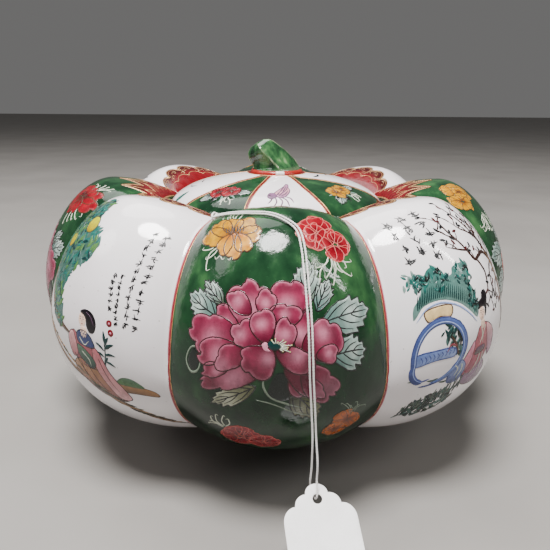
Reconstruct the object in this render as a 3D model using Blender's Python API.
"""Porcelain melon jar: a hollow body of eight lobes on a turned foot, a domed lid with a stem, and a strung tag.

The origin is on the jar's axis at the plane it stands on, +Z is up and -Y is the front, where a lobe is centred.
All sizes are in metres. An azimuth is an angle about Z, from the front towards +X, in degrees.
"""

import math

import bmesh
import bpy
import numpy as np

# Body: profiles of a lobe's crest and of the groove beside it, as (radius, height) at four stations.
LOBES = 8
FOOT_JOIN, BELLY, SHOULDER, MOUTH = range(4)
CREST = ((0.0462, 0.0104), (0.1150, 0.0698), (0.0827, 0.1156), (0.0550, 0.1025))
GROOVE = ((0.0448, 0.0115), (0.1042, 0.0547), (0.0679, 0.1070), (0.0550, 0.1025))
CREST_POWERS = (2.22, 1.68, 2.0)
GROOVE_POWERS = (1.81, 2.05, 2.0)
LOBE_ARC = 60.0
BODY_WALL = 0.0050
BASE_HEIGHT = 0.0100
BASE_RADIUS = 0.0436
CENTRE_RADIUS = 0.0200

# Mouth: the ledge that the lid rests on, inside the neck.
LEDGE_TOP = 0.0995
LEDGE_BOTTOM = 0.0945
LEDGE_BORE = 0.0465
LEDGE_LIP = 0.0007
LEDGE_ROOT = ((0.0565, 0.0945), (0.0595, 0.0970))

# Foot ring, luted under the body.
FOOT_OUTER = 0.0440
FOOT_INNER = 0.0372
FOOT_FLAT_OUTER = 0.0424
FOOT_FLAT_INNER = 0.0390
FOOT_CHAMFER = (0.0006, 0.0010)

# Lid: a quarter ellipse from the top of its straight edge to its centre.
LID_RADIUS = 0.0520
LID_EDGE_TOP = 0.1025
LID_CROWN = 0.1193
LID_WALL = 0.0045
FLANGE_OUTER = 0.0450
FLANGE_INNER = 0.0410
FLANGE_BOTTOM = 0.0890
FLANGE_CHAMFER = 0.0008
LID_CHAMFER = 0.0005

# Stem: centre (x, z), lean from the vertical in degrees and radius at each station. Its ribs fade out below.
STEM_STATIONS = (
    (0.0000, 0.1194, 0, 0.0116),
    (-0.0002, 0.1206, 4, 0.0112),
    (-0.0013, 0.1223, 14, 0.0098),
    (-0.0032, 0.1249, 24, 0.0086),
    (-0.0052, 0.1273, 30, 0.0077),
    (-0.0072, 0.1294, 32, 0.0070),
    (-0.0086, 0.1312, 32, 0.0059),
    (-0.0094, 0.1325, 32, 0.0037),
)
STEM_TIP = (-0.0097, 0.1331)
STEM_RIBS = 5
STEM_RIB_DEPTH = 0.09
STEM_RIBBED_LEAN = 14
STEM_AROUND = 40

# Tag: a card that leans with its lower edge near the ground, hung from the string.
TAG_TOP = (0.0126, -0.1142, 0.0238)
TAG_WIDTH = 0.0255
TAG_LENGTH = 0.0408
TAG_THICKNESS = 0.0004
TAG_LEAN = 34.0
TAG_YAW = 9.0
TAG_HOLE_RADIUS = 0.0017
TAG_HOLE_DEPTH = 0.0053
TAG_CORNER = 0.0025
TAG_STEPS = ((0.0040, 0.0034), (0.0081, 0.0073), (TAG_WIDTH / 2, 0.0126))

# Gap that touching pieces keep, and points round the body, a turned piece and the tag's hole.
GAP = 0.0003
AROUND = 80
ROUND_AROUND = 64
HOLE_AROUND = 20

# String: one limp thread, doubled through the tag. Each strand leaves the gap beside the lid and lies on the body.
STRING_DIAMETER = 0.0008
STRING_LIFT = STRING_DIAMETER / 2 + 1.2 * GAP
STRAND_HALF_SPACING = 0.00062
GAP_RADIUS = 0.05355
GAP_RADIUS_STEP = 0.00055
LONG_SPAN = 0.0065

# In the gap: azimuth, degrees that each strand moves from it, height.
IN_GAP = ((-37, 1.0, 0.1003), (-32, 0.5, 0.1006), (-28, 0.5, 0.1022))

# On the body: azimuth, place and share of the lift.
ON_BODY = (
    (-25.6, 2.72, 1.5),
    (-24.8, 2.40, 1.6),
    (-23.2, 2.10, 1.8),
    (-19.8, 1.99, 1.3),
    (-15.8, 1.95, 1.0),
    (-12.0, 1.92, 1.0),
    (-7.0, 1.885, 1.0),
    (-2.0, 1.850, 1.0),
    (1.4, 1.785, 1.0),
    (3.6, 1.710, 1.0),
    (4.3, 1.600, 1.0),
    (4.5, 1.480, 1.0),
    (4.7, 1.350, 1.0),
    (4.9, 1.220, 1.0),
    (5.0, 1.090, 1.0),
)

# Hanging free between the body and the tag, as world points.
HANGING = ((0.0106, -0.1150, 0.0630), (0.0113, -0.1150, 0.0530), (0.0119, -0.1150, 0.0430))

# Through the tag's hole, round behind its top edge and back, in the tag's own directions.
TURN = (
    (0.0002, -0.0036, 0.0095),
    (0.0002, -0.0002, 0.0040),
    (0.0001, 0.0028, 0.0017),
    (0.0000, 0.0045, 0.0000),
    (-0.0002, 0.0046, -0.0016),
    (-0.0004, 0.0034, -0.0028),
    (-0.0008, 0.0014, -0.0029),
    (-0.0012, -0.0003, -0.0019),
    (-0.0014, -0.0012, -0.0002),
    (-0.0014, -0.0022, 0.0027),
    (-0.0013, -0.0046, 0.0072),
)


def direction(azimuth):
    angle = math.radians(azimuth)
    return math.sin(angle), -math.cos(angle)


def profile_point(stations, powers, place):
    """(radius, height) at a place from 0, the foot join, through 1, the belly, and 2, the shoulder, to 3, the mouth."""
    section = min(int(place), 2)
    along = place - section
    angle = (1 - along if section != 1 else along) * math.pi / 2
    widest, highest = ((BELLY, FOOT_JOIN), (BELLY, SHOULDER), (MOUTH, SHOULDER))[section]
    across = math.cos(angle) ** (2 / powers[section]) if angle < math.pi / 2 else 0.0
    up = math.sin(angle) ** (2 / powers[section])
    radius = stations[highest][0] + (stations[widest][0] - stations[highest][0]) * across
    height = stations[widest][1] + (stations[highest][1] - stations[widest][1]) * up
    return radius, height


def inner_point(stations, powers, place):
    """The profile point moved into the clay by the wall's thickness, square to the profile."""
    step = 0.002
    before = profile_point(stations, powers, max(place - step, 0.0))
    after = profile_point(stations, powers, min(place + step, 3.0))
    along = (after[0] - before[0], after[1] - before[1])
    length = math.hypot(*along)
    radius, height = profile_point(stations, powers, place)
    return radius - BODY_WALL * along[1] / length, height + BODY_WALL * along[0] / length


def lobe_share(azimuth):
    """1 at a lobe's crest, 0 in a groove."""
    width = 360 / LOBES
    across = ((azimuth + width / 2) % width) / (width / 2) - 1
    low = math.cos(math.radians(LOBE_ARC))
    return (math.cos(math.radians(LOBE_ARC * across)) - low) / (1 - low)


def between(groove_point, crest_point, azimuth):
    """The world point at this azimuth of the ring through a groove point and a crest point."""
    share = lobe_share(azimuth)
    radius = groove_point[0] + (crest_point[0] - groove_point[0]) * share
    height = groove_point[1] + (crest_point[1] - groove_point[1]) * share
    x, y = direction(azimuth)
    return np.array((radius * x, radius * y, height))


def surface_point(azimuth, place):
    """A point on the body's outer surface."""
    groove_point = profile_point(GROOVE, GROOVE_POWERS, place)
    crest_point = profile_point(CREST, CREST_POWERS, place)
    return between(groove_point, crest_point, azimuth)


def surface_normal(azimuth, place):
    around = surface_point(azimuth + 0.5, place) - surface_point(azimuth - 0.5, place)
    up = surface_point(azimuth, place + 0.01) - surface_point(azimuth, place - 0.01)
    normal = np.cross(around, up)
    return normal / np.linalg.norm(normal)


def lid_profile(radius, height_above, reach):
    """Height of the dome whose edge has this radius, at a reach from the axis."""
    return LID_EDGE_TOP + height_above * math.sqrt(max(0.0, 1 - (reach / radius) ** 2))


def add_object(name, mesh, colour, roughness, metallic=0.0):
    material = bpy.data.materials.new(name)
    material.use_nodes = True
    shader = material.node_tree.nodes["Principled BSDF"]
    shader.inputs["Base Color"].default_value = (*colour, 1)
    shader.inputs["Roughness"].default_value = roughness
    shader.inputs["Metallic"].default_value = metallic
    material.diffuse_color = (*colour, 1)
    mesh.materials.append(material)
    piece = bpy.data.objects.new(name, mesh)
    bpy.context.scene.collection.objects.link(piece)
    return piece


def smooth(mesh, sharp_degrees=35):
    mesh.shade_smooth()
    mesh.set_sharp_from_angle(angle=math.radians(sharp_degrees))


def loft(name, rings, first_cap=None, last_cap=None, closed=False):
    """A mesh through rings of points, each running anticlockwise from above. A cap is its centre point."""
    shape = bmesh.new()
    rows = [[shape.verts.new(point) for point in ring] for ring in rings]
    count = len(rows[0])
    pairs = list(zip(rows, rows[1:]))
    if closed:
        pairs.append((rows[-1], rows[0]))
    for low, high in pairs:
        for i in range(count):
            j = (i + 1) % count
            shape.faces.new((low[i], low[j], high[j], high[i]))
    for row, centre, flipped in ((rows[0], first_cap, True), (rows[-1], last_cap, False)):
        if centre is None:
            continue
        hub = shape.verts.new(centre)
        for i in range(count):
            j = (i + 1) % count
            shape.faces.new((row[j], row[i], hub) if flipped else (row[i], row[j], hub))
    mesh = bpy.data.meshes.new(name)
    bmesh.ops.recalc_face_normals(shape, faces=shape.faces)
    shape.to_mesh(mesh)
    shape.free()
    smooth(mesh)
    return mesh


def circle(radius, height, count=ROUND_AROUND):
    return [
        (radius * math.cos(2 * math.pi * i / count), radius * math.sin(2 * math.pi * i / count), height)
        for i in range(count)
    ]


def turned(name, profile):
    """A ring turned from a closed (radius, height) profile."""
    return loft(name, [circle(radius, height) for radius, height in profile], closed=True)


def make_jar_body():
    azimuths = [90 + 360 * i / AROUND for i in range(AROUND)]

    def lobed(groove_point, crest_point):
        return [tuple(between(groove_point, crest_point, azimuth)) for azimuth in azimuths]

    def level(radius, height):
        return lobed((radius, height), (radius, height))

    rings = [level(CENTRE_RADIUS, BASE_HEIGHT), level(BASE_RADIUS, BASE_HEIGHT)]
    for place in [i / 9 for i in range(10)] + [1 + i / 8 for i in range(1, 9)] + [2 + i / 5 for i in range(1, 6)]:
        rings.append(
            lobed(profile_point(GROOVE, GROOVE_POWERS, place), profile_point(CREST, CREST_POWERS, place))
        )
    rings.append(level(CREST[MOUTH][0], LEDGE_TOP))
    rings.append(level(LEDGE_BORE + LEDGE_LIP, LEDGE_TOP))
    rings.append(level(LEDGE_BORE, LEDGE_TOP - LEDGE_LIP))
    rings.append(level(LEDGE_BORE, LEDGE_BOTTOM + LEDGE_LIP))
    rings.append(level(LEDGE_BORE + LEDGE_LIP, LEDGE_BOTTOM))
    for radius, height in LEDGE_ROOT:
        rings.append(level(radius, height))
    for place in (2.5, 2.25, 2.0, 1.8, 1.6, 1.4, 1.2, 1.0, 0.82, 0.64, 0.46, 0.28, 0.12, 0.0):
        rings.append(
            lobed(inner_point(GROOVE, GROOVE_POWERS, place), inner_point(CREST, CREST_POWERS, place))
        )
    floor_height = CREST[FOOT_JOIN][1] + BODY_WALL
    rings.append(level(CENTRE_RADIUS, floor_height))
    mesh = loft("jar_body", rings, first_cap=(0, 0, BASE_HEIGHT), last_cap=(0, 0, floor_height))
    return add_object("jar_body", mesh, (0.05, 0.22, 0.09), 0.12)


def make_foot_ring():
    top = BASE_HEIGHT - GAP
    profile = (
        (FOOT_OUTER, top),
        (FOOT_INNER, top),
        (FOOT_FLAT_INNER - FOOT_CHAMFER[0], FOOT_CHAMFER[1]),
        (FOOT_FLAT_INNER, 0),
        (FOOT_FLAT_OUTER, 0),
        (FOOT_FLAT_OUTER + FOOT_CHAMFER[0], FOOT_CHAMFER[1]),
    )
    return add_object("foot_ring", turned("foot_ring", profile), (0.75, 0.70, 0.62), 0.75)


def make_lid_shell():
    crown = LID_CROWN - LID_EDGE_TOP
    bottom = LEDGE_TOP + GAP
    inner_radius = LID_RADIUS - LID_WALL
    steps = 9
    rings = [
        circle(inner_radius, bottom),
        circle(LID_RADIUS - LID_CHAMFER, bottom),
        circle(LID_RADIUS, bottom + LID_CHAMFER),
    ]
    for i in range(steps):
        reach = LID_RADIUS * math.cos(math.pi / 2 * i / steps)
        rings.append(circle(reach, lid_profile(LID_RADIUS, crown, reach)))
    inner = []
    for i in range(steps - 1):
        reach = inner_radius * math.cos(math.pi / 2 * i / (steps - 1))
        inner.append(circle(reach, lid_profile(inner_radius, crown - LID_WALL, reach)))
    mesh = loft(
        "lid_shell",
        inner[::-1] + rings,
        first_cap=(0, 0, LID_CROWN - LID_WALL),
        last_cap=(0, 0, LID_CROWN),
    )
    return add_object("lid_shell", mesh, (0.80, 0.80, 0.78), 0.12)


def make_lid_flange():
    """The ring under the lid that keeps it central in the mouth. Its top follows the dome's underside."""
    crown = LID_CROWN - LID_EDGE_TOP - LID_WALL
    inner_radius = LID_RADIUS - LID_WALL
    reaches = [FLANGE_OUTER + (FLANGE_INNER - FLANGE_OUTER) * i / 3 for i in range(4)]
    top = [(reach, lid_profile(inner_radius, crown, reach) - 2 * GAP) for reach in reaches]
    profile = top + [
        (FLANGE_INNER, FLANGE_BOTTOM + FLANGE_CHAMFER),
        (FLANGE_INNER + FLANGE_CHAMFER, FLANGE_BOTTOM),
        (FLANGE_OUTER - FLANGE_CHAMFER, FLANGE_BOTTOM),
        (FLANGE_OUTER, FLANGE_BOTTOM + FLANGE_CHAMFER),
    ]
    return add_object("lid_flange", turned("lid_flange", profile), (0.80, 0.80, 0.78), 0.2)


def make_stem():
    rings = []
    for x, z, lean, radius in STEM_STATIONS:
        tilt = math.radians(lean)
        depth = STEM_RIB_DEPTH * min(1, lean / STEM_RIBBED_LEAN)
        ring = []
        for i in range(STEM_AROUND):
            angle = 2 * math.pi * i / STEM_AROUND
            reach = radius * (1 + depth * math.cos(STEM_RIBS * (angle + math.pi / 2)))
            across = reach * math.cos(angle)
            ring.append((x + across * math.cos(tilt), reach * math.sin(angle), z + across * math.sin(tilt)))
        rings.append(ring)
    mesh = loft(
        "stem",
        rings,
        first_cap=(0, 0, LID_CROWN + GAP),
        last_cap=(STEM_TIP[0], 0, STEM_TIP[1]),
    )
    return add_object("stem", mesh, (0.04, 0.20, 0.07), 0.12)


def tag_axes():
    """The card's directions to its right, down its length and out of its face."""
    yaw = math.radians(TAG_YAW)
    lean = math.radians(TAG_LEAN)
    right = np.array((math.cos(yaw), math.sin(yaw), 0))
    down = np.array((math.sin(yaw) * math.cos(lean), -math.cos(yaw) * math.cos(lean), -math.sin(lean)))
    return right, down, np.cross(down, right)


def tag_point(right, down, out):
    """A world point from distances in the card's own directions, counted from the middle of its top edge."""
    axes = tag_axes()
    return np.array(TAG_TOP) + right * axes[0] + down * axes[1] + out * axes[2]


def tag_outline():
    """The right half from the top down: a round top, two scallops, then a straight side to a round corner."""
    half = []
    start = (0.0, 0.0)
    for right, down in TAG_STEPS:
        for i in range(5):
            angle = math.pi / 2 * i / 5
            half.append(
                (start[0] + (right - start[0]) * math.sin(angle), start[1] + (down - start[1]) * (1 - math.cos(angle)))
            )
        start = (right, down)
    half.append(start)
    for i in range(5):
        angle = math.pi / 2 * i / 4
        half.append(
            (
                TAG_WIDTH / 2 - TAG_CORNER * (1 - math.cos(angle)),
                TAG_LENGTH - TAG_CORNER * (1 - math.sin(angle)),
            )
        )
    return half + [(-right, down) for right, down in half[:0:-1]]


def make_price_tag():
    outline = tag_outline()
    hole = [
        (
            TAG_HOLE_RADIUS * math.sin(2 * math.pi * i / HOLE_AROUND),
            TAG_HOLE_DEPTH - TAG_HOLE_RADIUS * math.cos(2 * math.pi * i / HOLE_AROUND),
        )
        for i in range(HOLE_AROUND)
    ]
    shape = bmesh.new()
    edges = []
    for loop in (outline, hole):
        corners = [shape.verts.new(tag_point(right, down, -TAG_THICKNESS / 2)) for right, down in loop]
        edges += [shape.edges.new((a, b)) for a, b in zip(corners, corners[1:] + corners[:1])]
    filled = bmesh.ops.triangle_fill(shape, use_beauty=True, edges=edges)
    faces = [item for item in filled["geom"] if isinstance(item, bmesh.types.BMFace)]
    raised = bmesh.ops.extrude_face_region(shape, geom=faces, use_keep_orig=True)
    thickness = tag_axes()[2] * TAG_THICKNESS
    lifted = [item for item in raised["geom"] if isinstance(item, bmesh.types.BMVert)]
    bmesh.ops.translate(shape, verts=lifted, vec=thickness)
    bmesh.ops.recalc_face_normals(shape, faces=shape.faces)
    mesh = bpy.data.meshes.new("price_tag")
    shape.to_mesh(mesh)
    shape.free()
    return add_object("price_tag", mesh, (0.86, 0.84, 0.83), 0.8)


def strand(side):
    """Route points of one strand, from the gap beside the lid to just above the tag. Side is 1 or -1."""
    middle = []
    normals = []
    for azimuth, place, share in ON_BODY:
        normals.append(surface_normal(azimuth, place))
        middle.append(surface_point(azimuth, place) + STRING_LIFT * share * normals[-1])
    for point in HANGING:
        middle.append(np.array(point))
        normals.append(np.array((0.0, -1.0, 0.0)))
    reach = GAP_RADIUS + GAP_RADIUS_STEP * side
    route = []
    for azimuth, apart, height in IN_GAP:
        x, y = direction(azimuth - apart * side)
        route.append(np.array((reach * x, reach * y, height)))
    onward = middle[1:] + [middle[-1] - (0, 0, 0.01)]
    for before, point, after, normal in zip([route[-1]] + middle, middle, onward, normals):
        across = np.cross(after - before, normal)
        route.append(point + side * STRAND_HALF_SPACING * across / np.linalg.norm(across))
    return route


def string_route():
    """Down the strand nearer the front, through and round the tag's top, and up the other strand."""
    return strand(-1) + [tag_point(*point) for point in TURN] + strand(1)[::-1]


def smooth_curve(points):
    """Points on the Catmull-Rom curve through the given ones, with one more in the middle of each long span."""
    ends = [2 * points[0] - points[1]] + list(points) + [2 * points[-1] - points[-2]]
    curve = []
    for a, b, c, d in zip(ends, ends[1:], ends[2:], ends[3:]):
        for t in (0, 0.5) if np.linalg.norm(c - b) > LONG_SPAN else (0,):
            curve.append(
                0.5 * (2 * b + (c - a) * t + (2 * a - 5 * b + 4 * c - d) * t**2 + (3 * b - a - 3 * c + d) * t**3)
            )
    return curve + [points[-1]]


def make_tag_string():
    points = smooth_curve(string_route())
    curve = bpy.data.curves.new("tag_string", "CURVE")
    curve.dimensions = "3D"
    curve.bevel_depth = STRING_DIAMETER / 2
    curve.bevel_resolution = 2
    curve.use_fill_caps = True
    spline = curve.splines.new("POLY")
    spline.points.add(len(points) - 1)
    for target, point in zip(spline.points, points):
        target.co = (*point, 1)
    return add_object("tag_string", curve, (0.80, 0.78, 0.75), 0.9)


def main():
    for piece in list(bpy.data.objects):
        bpy.data.objects.remove(piece, do_unlink=True)
    jar = bpy.data.objects.new("jar_axis", None)
    lid_axis = bpy.data.objects.new("lid_axis", None)
    for axis in (jar, lid_axis):
        bpy.context.scene.collection.objects.link(axis)
    lid_axis.parent = jar
    for piece in (make_jar_body(), make_foot_ring(), make_tag_string(), make_price_tag()):
        piece.parent = jar
    for piece in (make_lid_shell(), make_lid_flange(), make_stem()):
        piece.parent = lid_axis


main()
